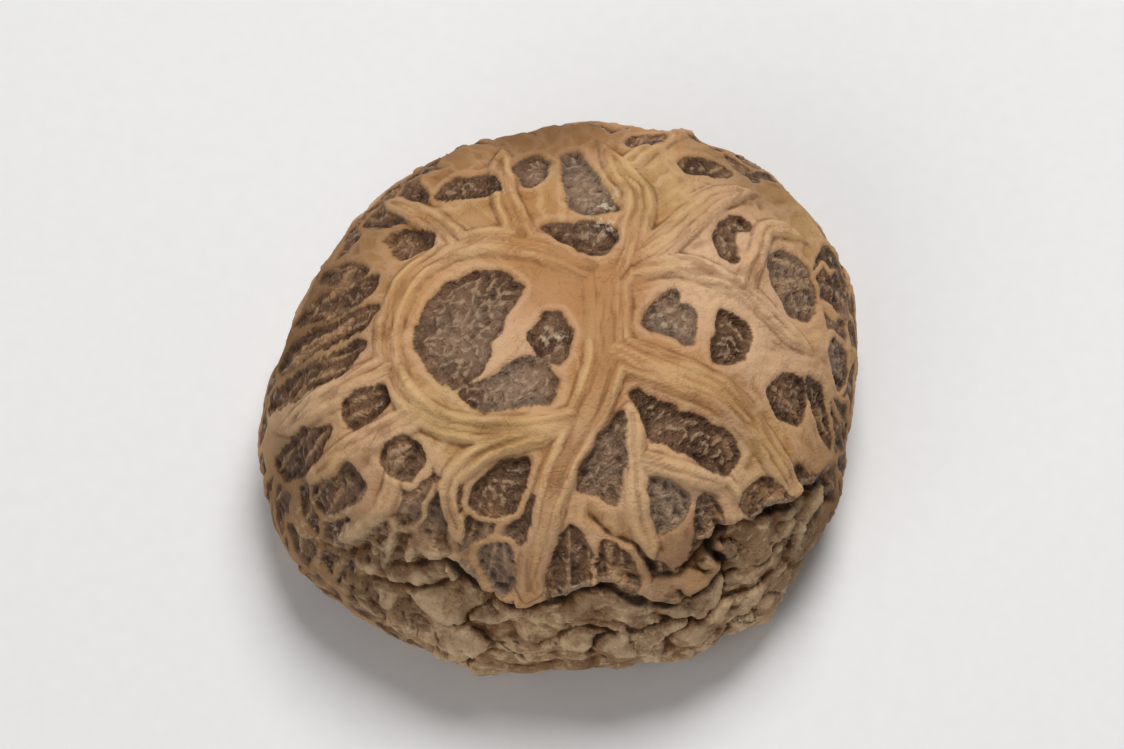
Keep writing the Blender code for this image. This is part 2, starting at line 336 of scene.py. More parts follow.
                  ((-1.7, -0.5), 0.9, 0.4), ((0.7, -3.0), 0.9, 0.4), ((-3.4, -4.2), 1.4, 0.6),
                  ((-0.9, -1.6), 0.7, 0.6), ((2.0, -3.75), 0.9, 0.9), ((-1.5, -5.1), 1.0, 0.7),
                  ((5.9, 0.2), 0.9, 0.5)],
    },

    # The deep fold above the front rim, and the stretch of rim that crumples below it.
    "fold": {
        "line": [(6.9, -2.35), (5.8, -2.85), (4.75, -3.5), (3.65, -3.9), (3.25, -4.2), (3.15, -4.6),
                 (3.5, -4.95), (3.3, -5.45), (2.85, -5.7), (2.1, -5.9), (1.05, -5.55), (0.2, -5.7),
                 (-0.75, -6.05), (-1.3, -6.05), (-2.05, -5.5), (-2.25, -5.1), (-2.6, -4.8), (-3.6, -4.8),
                 (-4.4, -4.75)],
        "depth": 1.5,
        "width": 0.6,
        "lip": 0.55,
        "rimSinks": 0.45,
        "wander": 0.4,
    },

    # Short creases: the line, the depth and half the width.
    "nicks": [
        ([(0.95, 4.6), (1.0, 5.3), (0.9, 6.2)], 0.6, 1.0),
        ([(-4.6, -4.9), (-3.7, -5.25), (-2.8, -5.35), (-1.9, -5.3)], 0.7, 0.45),
        ([(-5.6, -3.9), (-4.7, -4.3), (-3.9, -4.2)], 0.5, 0.4),
        ([(3.2, -4.3), (2.6, -5.1), (1.9, -5.2)], 0.6, 0.4),
        ([(0.35, -3.9), (0.9, -4.4), (1.5, -4.6), (1.9, -5.2)], 0.5, 0.35),
        ([(5.6, -4.2), (6.0, -3.4), (6.9, -2.9)], 0.6, 0.4),
    ],

    # Scales on the flanks, as cells round seeded middles: their size round the cap and away from the crown.
    "flankScale": {
        "width": 3.1,
        "length": 6.6,
        "shrink": 0.6,  # how much shorter they are at the rim
        "gap": 0.34,
        "firstRow": 0.3,  # shares of the way to the rim
        "start": 0.47,  # where they begin, sooner on the left
        "startSwing": 0.12,
        "edge": 0.34,
        "clearOfIslands": 0.7,
        "clearOfVeins": 0.2,
        "seed": 11,
    },

    # Lumps of crumpled skin on the rim.
    "rimLump": {
        "width": 5.4,
        "length": 3.4,
        "crack": 0.26,
        "rises": 0.28,  # how much higher or lower than the next one
        "tilts": 0.17,
        "mostTilt": 0.3,
        "rows": 6,
        "seed": 23,
    },

    # Red, green and blue from 0 to 255.
    "colors": {
        "ridge": (202, 155, 104),
        "ridgePink": (222, 179, 143),
        "ridgeBrownAndShade": (174, 118, 66),
        "ridgeDarkAndShade": (116, 82, 46),
        "cream": (200, 167, 112),
        "crestHighlightAndGrain": (230, 192, 138),
        "pale": (240, 202, 164),
        "line": (124, 79, 41),
        "streak": (198, 150, 98),
        "bloom": (184, 158, 134),
        "island": (126, 92, 66),
        "islandDark": (82, 54, 33),
        "islandGreyAndHighlight": (184, 153, 122),
        "rim": (216, 181, 141),
        "rimGrey": (172, 139, 104),
        "rimBrown": (142, 106, 70),
        "rimStain": (124, 90, 66),
        "rimPaleAndHighlight": (230, 200, 160),
        "rimDarkAndShade": (110, 84, 54),
        "flakeAndGlint": (232, 216, 184),
        "pitShade": (44, 24, 8),
        "under": (186, 150, 104),
    },
}


def readPoints(piece):
    spots = np.zeros(len(piece.data.vertices) * 3)
    piece.data.vertices.foreach_get("co", spots)
    return spots.reshape(-1, 3)


def writePoints(piece, spots):
    piece.data.vertices.foreach_set("co", spots.ravel())
    piece.data.update()


def readNormals(piece):
    found = np.zeros(len(piece.data.vertices) * 3, np.float32)
    piece.data.vertex_normals.foreach_get("vector", found)
    return found.reshape(-1, 3).astype(float)


def keepOnMesh(piece, name, values):
    # A value for each vertex, which the material reads by name.
    layer = piece.data.attributes.new(name, "FLOAT", "POINT")
    layer.data.foreach_set("value", values.astype(np.float32))


def roundedCube():
    # A cube's grid blown up to a sphere, with quads of nearly one size and no poles.
    bpy.ops.object.select_all(action="DESELECT")
    bpy.ops.mesh.primitive_cube_add(size=2)
    ball = bpy.context.object
    bpy.ops.object.mode_set(mode="EDIT")
    bpy.ops.mesh.select_all(action="SELECT")
    bpy.ops.mesh.subdivide(number_cuts=3)
    bpy.ops.mesh.subdivide(number_cuts=cap["cuts"] // 4 - 1)
    bpy.ops.object.mode_set(mode="OBJECT")
    spots = np.tan(readPoints(ball) * math.pi / 4)
    return ball, spots / np.linalg.norm(spots, axis=1)[:, None]


def insideOutline(outline, a, b):
    found = np.zeros(len(a), bool)
    low, high = outline.min(0), outline.max(0)
    near = np.where((a > low[0]) & (a < high[0]) & (b > low[1]) & (b < high[1]))[0]
    x, y = a[near], b[near]
    within = np.zeros(len(near), bool)
    for (x1, y1), (x2, y2) in zip(outline, np.roll(outline, -1, axis=0)):
        crosses = (y1 > y) != (y2 > y)
        within ^= crosses & (x < (x2 - x1) * (y - y1) / (y2 - y1 + 1e-12) + x1)
    found[near] = within
    return found


def drawnIslands(a, b, spots):
    # How far inside the nearest drawn island each point is: below 0 outside them all.
    outlines = [drawnLine(knots, 7, closed=True) for knots in cap["islands"].values()]
    far, _ = distanceTo(spots, np.vstack([edge for _, edge in outlines]))
    inside = np.zeros(len(a), bool)
    for line, _ in outlines:
        inside |= insideOutline(line, a, b)
    return np.where(inside, far, -far) + cap["islandGrows"]


def veinField(spots):
    # How far inside the nearest broad ridge each point is, and how far along it.
    best = np.full(len(spots), -99.0)
    along = np.zeros(len(spots))
    for number, (knots, first, last, fades) in enumerate(cap["veins"].values()):
        line, ridge = drawnLine(knots, 40)
        share = np.linspace(0, 1, len(line))
        widths = first + (last - first) * share
        if fades:
            widths = widths - (widths + 1.1) * smooth((share - 1 + fades) / fades)
        far, nearest = distanceTo(spots, ridge)
        inside = widths[nearest] - far
        along = np.where(inside > best, 50 * number + share[nearest] * len(knots) * 4, along)
        best = np.maximum(best, inside)
    return best, along


def foldField(a, b, spots):
    # Distance from the fold, above 0 on the rim's side of it, and its strength, which fades at its ends.
    line, edge = drawnLine(cap["fold"]["line"], 14)
    spots = spots + cap["fold"]["wander"] * strayed(spots, 2.6, 15)
    far, nearest = distanceTo(spots, edge)
    side = np.hypot(a, b) - np.hypot(line[:, 0], line[:, 1])[nearest] + 0.02 * patchy(spots, 2.2, 18)
    share = nearest / (len(line) - 1)
    strength = smooth(share / 0.08) * smooth((1 - share) / 0.12) * smooth((0.05 - b) / 0.2)
    return np.where(side > 0, far, -far), strength


def toneField(name, a, b):
    found = np.zeros(len(a))
    for (x, y), reach, strength in cap["tones"][name]:
        found = np.maximum(found, strength * smooth(1.3 - np.hypot(a * 10 - x, b * 10 - y) / reach))
    return found


def flankScales(angle, run, points):
    # How far inside a scale each point is. Scales that would meet a drawn island or a ridge are left out.
    kind = cap["flankScale"]
    seed = kind["seed"]
    dice = np.random.default_rng(seed)
    stretch = kind["width"] / kind["length"]
    count = int(2 * math.pi * flankRadius / kind["width"])
    turns, places = [], []
    row = kind["firstRow"] * skinLength
    while row < skinLength + 4:
        length = kind["length"] * (1.2 - kind["shrink"] * row / skinLength)
        for i in range(count):
            turns.append((i + dice.uniform(-0.36, 0.36)) * 2 * math.pi / count)
            places.append(row + dice.uniform(-0.5, 0.5) * length)
        row += length
    turns, places = np.array(turns), np.array(places)
    a, b = places / skinLength * np.cos(turns), places / skinLength * np.sin(turns)
    middles = skinAt(a, b)
    kept = places / skinLength > kind["start"] + kind["startSwing"] * np.cos(turns - math.radians(10))
    kept &= drawnIslands(a, b, middles) < -kind["clearOfIslands"]
    kept &= veinField(middles)[0] < -kind["clearOfVeins"]

    bent = angle + 0.06 * patchy(points, 5.0, seed + 1) + 0.02 * patchy(points, 1.6, seed + 4)
    along = run + 1.1 * patchy(points, 3.0, seed + 2)
    cells = roundTheCap(turns, places * stretch)
    nearest, toBorder = nearestCells(roundTheCap(bent, along * stretch), cells)
    gap = kind["gap"] * np.maximum(1 + 1.1 * patchy(points, 5.0, seed + 3), 0.15)
    began = (run / skinLength - kind["edge"]) * 30 + 0.8 * patchy(points, 2.0, seed + 5)
    return np.minimum(np.where(kept[nearest], toBorder, -toBorder) - gap, began)


def rimLumps(angle, run, points):
    # Lumps of many sizes, each tilted its own way, and the cracks between some of them.
    kind = cap["rimLump"]
    dice = np.random.default_rng(kind["seed"])
    stretch = kind["width"] / kind["length"]
    count = int(2 * math.pi * flankRadius / kind["width"] * kind["rows"])
    turns = dice.uniform(0, 2 * math.pi, count)
    places = dice.uniform(0.45, 1.0, count) ** 0.8 * (skinLength + 6) * stretch
    cells = roundTheCap(turns, places)
    bent = angle + 0.08 * patchy(points, 5.0, 24) + 0.014 * patchy(points, 1.5, 25)
    along = run + 1.6 * patchy(points, 4.5, 26) + 0.3 * patchy(points, 1.4, 27)
    moved = roundTheCap(bent, along * stretch)
    nearest, toBorder = nearestCells(moved, cells)
    rises = dice.uniform(-1, 1, count)[nearest] * kind["rises"]
    tilts = dice.uniform(-1, 1, (count, 3))[nearest] * kind["tilts"]
    tilted = np.clip(np.sum(tilts * (moved - cells[nearest]), axis=1), -kind["mostTilt"], kind["mostTilt"])
    cracks = hump(toBorder, 0, kind["crack"]) * smooth(0.55 + 1.2 * patchy(points, 3.5, 28))
    return (rises + tilted) * smooth(toBorder / 0.7), cracks


def hollowness(piece, relief, steps):
    # Below 0 in pits and creases and above 0 on crests: the relief less that of its surroundings.
    ends = np.zeros(len(piece.data.edges) * 2, np.int32)
    piece.data.edges.foreach_get("vertices", ends)
    first, second = ends.reshape(-1, 2).T
    count = np.bincount(ends, minlength=len(relief)).astype(float)
    blurred = relief.copy()
    for _ in range(steps):
        total = np.bincount(first, blurred[second], len(relief))
        total += np.bincount(second, blurred[first], len(relief))
        blurred = 0.4 * blurred + 0.6 * total / count
    return relief - blurred


def bareCap():
    # The cap before anything is marked on it, with each vertex's turn round it and share of the way down.
    piece, ball = roundedCube()
    piece.name = "cap_skin"
    angle = np.arctan2(ball[:, 1], ball[:, 0])
    fall = np.arccos(np.clip(ball[:, 2], -1, 1)) / math.pi
    outside = fall <= cap["skinShare"]
    share = fall / cap["skinShare"]
    underShare = (fall - cap["skinShare"]) / (1 - cap["skinShare"])
    r, z = [
        np.where(
            outside,
            np.interp(share * skinLength, skinRun, skinLine[:, k]),
            np.interp(underShare * underRun[-1], underRun, underLine[:, k]),
        )
        for k in (0, 1)
    ]
    bare = growUnevenly(r * np.cos(angle), r * np.sin(angle), z)
    writePoints(piece, bare)
    print("cap: bare surface,", len(piece.data.polygons), "quads")
    return piece, angle, np.where(outside, share, 1 + underShare), bare


def wandered(angle, share, bare, size):
    # Each point's place on the map, moved a little, which roughens the edges of the marks found for it.
    reach = size / skinLength
    a = share * np.cos(angle) + reach * (patchy(bare, 1.7, 1) + 0.5 * patchy(bare, 0.8, 2))
    b = share * np.sin(angle) + reach * (patchy(bare, 1.7, 3) + 0.5 * patchy(bare, 0.8, 4))
    spots = bare.copy()
    top = share < 1.06
    spots[top] = skinAt(a[top], b[top])
    return a, b, spots


def islandRelief(island, sunk, streaks, bare):
    # Islands lie low and are wrinkled, with thin crests that run away from the crown on the flanks.
    wrinkle = 0.55 * wrinkled(bare, 1.1, 41) + 0.45 * wrinkled(bare, 0.6, 45)
    relief = sunk * (cap["islandWrinkle"] * (wrinkle - 0.1) - cap["islandSinks"])
    relief += cap["streakRises"] * sunk * streaks + cap["islandCrowns"] * smooth(island / 2.0)
    return relief + cap["islandLip"] * hump(np.clip(-island, 0, 9), 0.5, 0.35) * (1 - sunk)


def ridgeRelief(vein, along, island, sunk, share, polar, bare):
    # Broad ridges, grooved along the middle, with creases beside them and a grain that follows them.
    uneven = 0.5 + 0.5 * patchy(bare, 3.2, 51)
    across = vein + 0.3 * patchy(bare, 2.2, 55)
    grain = patchy(np.stack([across, along * 0.12, 0 * vein], -1), 0.5, 56, octaves=2)
    beside = polar * np.array([1, 1, 0.8]) + 0.5 * patchy(bare, 3.0, 57)[:, None]
    onVein = smooth((vein + 0.4) / 0.5)
    grain = grain * onVein + 0.5 * patchy(beside, 0.9, 58, octaves=2) * (1 - onVein)
    grain *= smooth(share / 0.12)
    creases = hump(vein, -0.3, 0.22) * uneven + 0.5 * hump(vein, 0.75, 0.16)
    creases += 0.4 * hump(np.clip(-island, 0, 9), 1.2, 0.3) * (vein < -0.4) * uneven
    creases *= (1 - sunk) * (share < 1) * smooth(share / 0.14)
    relief = cap["grain"] * grain * (1 - sunk) * (share < 1.1) - cap["crease"] * creases
    relief += cap["veinRises"] * smooth((vein + 1.0) / 1.7)
    return relief - cap["veinGroove"] * smooth((vein - 0.35) / 0.6) * uneven, grain


def foldRelief(away, strength, spots, onSkin, bare):
    # The fold above the front rim with its lip, the short creases, and how deeply each point is cut.
    fold = cap["fold"]
    cut = hump(away, 0, fold["width"]) * strength
    relief = fold["lip"] * hump(away, -0.9, 0.8) * strength
    relief -= fold["depth"] * cut * (0.7 + 0.5 * patchy(bare, 2.4, 52))
    relief -= fold["rimSinks"] * smooth(away) * smooth((7 - away) / 5) * strength * onSkin
    for knots, depth, width in cap["nicks"]:
        line, crease = drawnLine(knots, 14)
        far, nearest = distanceTo(spots, crease)
        nick = hump(far, 0, width) * smooth(np.minimum(nearest, len(line) - 1 - nearest) / 8)
        relief -= depth * nick
        cut = np.maximum(cut, nick * depth / max(width * 1.6, 1))
    return relief, cut


def paperRelief(angle, run, polar, bare):
    # Crumpled, papery skin: tilted lumps, pleats and creases, and the cracks in it.
    lumps, cracks = rimLumps(angle, run, bare)
    bent = polar * np.array([1, 1, 1.6]) + 1.6 * strayed(bare, 3.6, 67)
    pleats = 0.9 * np.abs(patchy(bent, 5.0, 73)) + 0.15 * np.abs(patchy(bent, 2.2, 74)) - 0.3
    creased = 0.3 * smooth((wrinkled(bare, 3.6, 61) - 0.5) / 0.5)
    creased += 0.15 * smooth((wrinkled(bare, 1.5, 65) - 0.5) / 0.5)
    return lumps * 1.6 - creased - 0.5 * cracks + pleats, cracks


def makeCap():
    piece, angle, share, bare = bareCap()
    outward = readNormals(piece)
    run = share * skinLength
    polar = roundTheCap(angle, run * 0.2, 22)
    onSkin = smooth((1.3 - share) / 0.3)

    a, b, spots = wandered(angle, share, bare, cap["edgeWander"])
    drawn = drawnIslands(a, b, spots)
    foldAway, foldStrength = foldField(a, b, spots)
    belowFold = smooth((foldAway + 0.2) / 0.7) * foldStrength
    a, b, spots = wandered(angle, share, bare, cap["edgeWander"] * 0.35)
    vein, along = veinField(spots)
    print("cap: islands, ridges and fold measured")

    # Small scales fill the flanks, clear of the front rim.
    scales = flankScales(angle, run, bare)
    scales = np.minimum(scales, np.minimum(-drawn - 0.6, -vein + 0.1))
    scales = np.minimum(scales, np.minimum((0.99 - share) * 14, (0.5 - belowFold) * 4))
    island = np.maximum(np.minimum(drawn, (0.6 - belowFold) * 4), scales)
    sunk = smooth((island + 0.22) / 0.75)
    streaks = np.clip(1 - 3.4 * np.abs(patchy(polar, 1.7, 48)), 0, 1) * smooth((share - 0.3) / 0.15)

    (x, y), reach, strength = cap["crumpledPatch"]
    patch = strength * smooth(1.25 - np.hypot(a * 10 - x, b * 10 - y) / reach)
    rimShare = smooth((share - 0.78) / 0.2) * onSkin
    crumpled = np.maximum(np.maximum(belowFold * onSkin, 0.8 * rimShare), patch)

    ridges, grain = ridgeRelief(vein, along, island, sunk, share, polar, bare)
    folds, cut = foldRelief(foldAway, foldStrength, spots, onSkin, bare)
    paper, cracks = paperRelief(angle, run, polar, bare)
    relief = cap["lumps"] * patchy(bare, 9.0, 31) * onSkin * smooth(share / 0.3)
    relief += cap["smallLumps"] * patchy(bare, 3.6, 32) * onSkin
    relief += islandRelief(island, sunk, streaks, bare) + ridges + folds
    relief += cap["crumple"] * crumpled * paper * (1 - 0.7 * smooth((share - 0.84) / 0.14))
    relief += cap["dryWrinkle"] * wrinkled(bare, 1.7, 75) * (1 - sunk) * smooth((share - 0.15) / 0.3)
    relief += cap["underLumps"] * smooth((share - 1.0) / 0.2) * patchy(bare, 1.6, 71, octaves=3)

    shaped = bare + outward * relief[:, None]
    shaped[:, 2] = np.maximum(shaped[:, 2], 0.0)
    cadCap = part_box("cap")
    middle = np.zeros(3)
    for k in (0, 1):
        middle[k] = (cadCap[0][k] + cadCap[1][k]) / 2 / mm - (bare[:, k].min() + bare[:, k].max()) / 2
    writePoints(piece, (shaped + middle) * mm)

    marks = {
        "island": island,
        "vein": np.clip(vein, -9, 9),
        "crumple": crumpled,
        "cut": np.maximum(cut, 0.8 * cracks * crumpled),
        "streaks": streaks,
        "grain": grain,
        "share": share,
        "hollow": hollowness(piece, relief, 7),
        "valley": hollowness(piece, relief, 45),
    }
    for name in cap["tones"]:
        marks[name] = toneField(name, a, b)
    for name, values in marks.items():
        keepOnMesh(piece, name, values)
    bpy.ops.object.shade_smooth()
    print("cap: shaped")
    return piece, middle


gills = {
    "count": 74,  # full length; half-length ones lie between them, and quarter-length ones beside those
    "starts": (0.0, 0.66, 0.42, 0.66),  # share of the way to the rim where each of four neighbours starts
    "thickness": 0.30,
    "wave": 0.10,
    "rows": 4,
    "stations": 11,
    "colors": {"pale": (222, 190, 140), "tan": (196, 156, 104), "line": (160, 116, 70)},
}


def bladeOutline(start):
    # Roof points and free-edge points of one gill, from the stem side to the rim side, in an upright plane.
    radius = body["radius"]
    inner = body["stemRadius"] * 1.12 + 0.3
    roof = curveThrough([
        (inner, ceiling + 0.15), (0.37 * radius, 0.970 * ceiling + 0.15),
        (0.55 * radius, 0.900 * ceiling + 0.15), (0.678 * radius, 0.450 * high),
        (0.700 * radius, 0.330 * high), (0.652 * radius, 0.222 * high),
    ], 8)
    edge = curveThrough([
        (inner, 0.435 * high), (0.28 * radius, 0.425 * high), (0.40 * radius, 0.395 * high),
        (0.52 * radius, 0.330 * high), (0.60 * radius, 0.250 * high), (0.640 * radius, 0.215 * high),
    ], 8)
    index = np.arange(len(roof))
    picks = np.linspace(int(start * (len(roof) - 1)), len(roof) - 1, gills["stations"])
    roof, edge = [
        np.stack([np.interp(picks, index, side[:, k]) for k in (0, 1)], -1) for side in (roof, edge)
    ]
    if start > 0:  # a short gill tapers up into the roof where it starts
        taper = smooth(np.linspace(0, 1, len(picks)) / 0.45)[:, None]
        edge = roof * (1 - taper) + edge * taper
    return roof, edge


def makeBlade(slot, slots, middle, dice):
    start = gills["starts"][slot % 4]
    turn = (slot + dice.uniform(-0.28, 0.28)) * 2 * math.pi / slots
    roof, edge = bladeOutline(start)
    bpy.ops.object.select_all(action="DESELECT")
    bpy.ops.mesh.primitive_grid_add(x_subdivisions=len(roof) - 1, y_subdivisions=gills["rows"], size=2)
    blade = bpy.context.object
    flat = readPoints(blade)
    along = (flat[:, 0] + 1) / 2 * (len(roof) - 1)
    down = (flat[:, 1] + 1) / 2
    index = np.arange(len(roof))
    outward, z = [
        np.interp(along, index, roof[:, k]) * (1 - down) + np.interp(along, index, edge[:, k]) * down
        for k in (0, 1)
    ]
    swing = gills["wave"] * down * np.sin(along * dice.uniform(1.2, 2.2) + dice.uniform(0, 6))
    swing += down * dice.uniform(-0.12, 0.12)
    z = z + 0.12 * down * dice.uniform(-1, 1) + 0.10 * down**4 * np.sin(along * 3.1 + slot)
    x = outward * math.cos(turn) - swing * math.sin(turn)
    y = outward * math.sin(turn) + swing * math.cos(turn)
    writePoints(blade, (growUnevenly(x, y, z) + middle) * mm)
    thick = blade.modifiers.new("Thickness", "SOLIDIFY")
    thick.thickness = gills["thickness"] * mm * (1.0 if start == 0 else 0.8)
    thick.offset = 0
    bpy.ops.object.modifier_apply(modifier=thick.name)
    return blade


def makeGills(middle):
    dice = np.random.default_rng(5)
    slots = gills["count"] * 4
    blades = [makeBlade(slot, slots, middle, dice) for slot in range(slots)]
    bpy.ops.object.select_all(action="DESELECT")
    for blade in blades:
        blade.select_set(True)
    bpy.context.view_layer.objects.active = blades[0]
    bpy.ops.object.join()
    piece = bpy.context.object
    piece.name = "gill_blades"
    bpy.ops.object.mode_set(mode="EDIT")
    bpy.ops.mesh.select_all(action="SELECT")
    bpy.ops.mesh.normals_make_consistent(inside=False)
    bpy.ops.object.mode_set(mode="OBJECT")
    bpy.ops.object.shade_smooth_by_angle(angle=math.radians(50))
    print("gills:", len(blades), "blades")
    return piece


stem = {
    "cutHeight": 1.2,
    "lean": (-1.3, 0.9),
    "leanTop": 12.0,
    "furrows": ((3, 0.05, 15.0), (7, 0.04, 50.0)),
    "fibres": 0.16,
    "steps": 160,
    "cutRings": (0.6, 0.48, 0.36, 0.24, 0.12),  # of the radius, across the cut face
    "colors": {"pale": (200, 160, 112), "tan": (172, 128, 84), "strand": (122, 84, 52)},
}


def makeStem(middle):
    top = ceiling - 0.05
    low = stem["cutHeight"]
    radius = body["stemRadius"]
    side = curveThrough([
        (1.10 * radius, top), (1.06 * radius, 0.78 * top), (0.98 * radius, 0.52 * top),
        (0.92 * radius, 0.30 * top), (0.90 * radius, low + 0.8), (0.84 * radius, low + 0.15),
        (0.72 * radius, low),
    ], 9)
    bpy.ops.object.select_all(action="DESELECT")
    bpy.ops.mesh.primitive_circle_add(vertices=stem["steps"], radius=side[0][0], location=(0, 0, 0))
    piece = bpy.context.object
    piece.name = "stem_fibres"
    bpy.ops.object.mode_set(mode="EDIT")
    bpy.ops.mesh.select_all(action="SELECT")
    radii = [p[0] for p in side] + [radius * share for share in stem["cutRings"]]
    for before, after in zip(radii, radii[1:]):
        bpy.ops.mesh.extrude_edges_move()
        bpy.ops.transform.resize(value=(after / before, after / before, 1))
    bpy.ops.mesh.merge(type="CENTER")
    bpy.ops.object.mode_set(mode="OBJECT")

    # Each ring goes to its height, then the stem leans and its side gets furrows and fibres.
    flat = readPoints(piece)
    ring = np.arange(len(flat)) // stem["steps"]
    heights = np.array([p[1] for p in side] + [low] * (len(stem["cutRings"]) + 1))
    turn = np.arctan2(flat[:, 1], flat[:, 0])
    reach = np.hypot(flat[:, 0], flat[:, 1])
    z = heights[np.minimum(ring, len(heights) - 1)]
    below = smooth((stem["leanTop"] - z) / stem["leanTop"])
    spread = 1 + waveSum(stem["furrows"], turn) * (0.15 + 0.85 * below)
    strand = roundTheCap(turn, z * 0.16, 4)
    fibre = 0.6 * wrinkled(strand, 0.9, 81) + 0.4 * patchy(strand, 0.45, 85)
    sideShare = smooth((z - low) / 0.8)
    spread += stem["fibres"] / radius * fibre * (0.35 + 0.65 * sideShare) * smooth(reach / radius / 0.6)
    x = reach * spread * np.cos(turn) + stem["lean"][0] * below
    y = reach * spread * np.sin(turn) + stem["lean"][1] * below
    face = np.stack([x, y, np.zeros_like(x)], -1)
    rough = 0.22 * (patchy(face, 1.3, 86) * 0.7 + patchy(face, 0.5, 87) * 0.5)
    z = z + np.where(ring >= len(side) - 1, rough, 0.0)
    writePoints(piece, (growUnevenly(x, y, z) + middle) * mm)
    bpy.ops.object.mode_set(mode="EDIT")
    bpy.ops.mesh.select_all(action="DESELECT")
    bpy.ops.mesh.select_non_manifold()
    bpy.ops.mesh.edge_face_add()
    bpy.ops.mesh.select_all(action="SELECT")
    bpy.ops.mesh.normals_make_consistent(inside=False)
    bpy.ops.object.mode_set(mode="OBJECT")
    bpy.ops.object.shade_smooth_by_angle(angle=math.radians(60))
    print("stem:", len(piece.data.polygons), "faces")
    return piece


def tint(red, green, blue):
    # A colour picker's 0 to 255 values as the linear ones that a shader wants.
    parts = [v / 255 for v in (red, green, blue)]
    return tuple(v / 12.92 if v < 0.04045 else ((v + 0.055) / 1.055) ** 2.4 for v in parts) + (1.0,)


class Wire:
    # A socket that sums can be written with.
    def __init__(self, paint, socket):
        self.paint, self.socket = paint, socket

    def sum(self, operation, first, second):
        return self.paint.node("ShaderNodeMath", {"operation": operation}, {0: first, 1: second})

    def __add__(self, other):
        return self.sum("ADD", self, other)

    def __radd__(self, other):
        return self.sum("ADD", other, self)

    def __sub__(self, other):
        return self.sum("SUBTRACT", self, other)

    def __rsub__(self, other):
        return self.sum("SUBTRACT", other, self)

    def __mul__(self, other):
        return self.sum("MULTIPLY", self, other)

    def __rmul__(self, other):
        return self.sum("MULTIPLY", other, self)


class Paint:
    # One material: a Principled BSDF, the nodes that feed it and the colours they use.
    def __init__(self, name, colors):
        self.material = bpy.data.materials.new(name)
        self.material.use_nodes = True
        self.tree = self.material.node_tree
        self.shader = self.tree.nodes["Principled BSDF"]
        self.colors = {key: tint(*parts) for key, parts in colors.items()}

    def node(self, kind, settings=None, inputs=None, output=0):
        made = self.tree.nodes.new(kind)
        for key, value in (settings or {}).items():
            setattr(made, key, value)
        for key, value in (inputs or {}).items():
            self.plug(made.inputs[key], value)
        return Wire(self, made.outputs[output])

    def plug(self, socket, value):
        if isinstance(value, Wire):
            self.tree.links.new(value.socket, socket)
        else:
            socket.default_value = value

    def give(self, **sockets):
        for key, value in sockets.items():
            self.plug(self.shader.inputs[key.replace("_", " ")], value)

    def place(self):
        return self.node("ShaderNodeTexCoord", output="Object")

    def layer(self, name):
        return self.node("ShaderNodeAttribute", {"attribute_name": name}, output="Fac")

    def cloud(self, vector, size, detail=2.0, rough=0.5, bend=0.0):
        # Noise from 0 to 1 whose patches are about size millimetres across.
        inputs = {"Vector": vector, "Scale": 1 / (size * mm), "Detail": detail, "Roughness": rough}
        inputs["Distortion"] = bend
        return self.node("ShaderNodeTexNoise", inputs=inputs, output="Fac")

    def rise(self, value, low, high):
        inputs = {"Value": value, "From Min": low, "From Max": high}
        return self.node("ShaderNodeMapRange", {"interpolation_type": "SMOOTHSTEP"}, inputs)

    def peak(self, value, middle, width):
        # 1 where the value is at the middle, down to 0 a width away.
        away = self.node("ShaderNodeMath", {"operation": "ABSOLUTE"}, {0: value - middle})
        return 1 - self.rise(away, 0.0, width)

    def blend(self, factor, first, second):
        inputs = {0: factor, 6: first, 7: second}
        return self.node("ShaderNodeMix", {"data_type": "RGBA"}, inputs, output=2)

    def over(self, color, coats):
        # Lays the named colours over the first one, each through its own mask.
        for mask, name in coats:
            color = self.blend(mask, color, self.colors[name])
        return color

    def bump(self, height, distance, strength):
        inputs = {"Height": height, "Distance": distance * mm, "Strength": strength}
        return self.node("ShaderNodeBump", inputs=inputs)


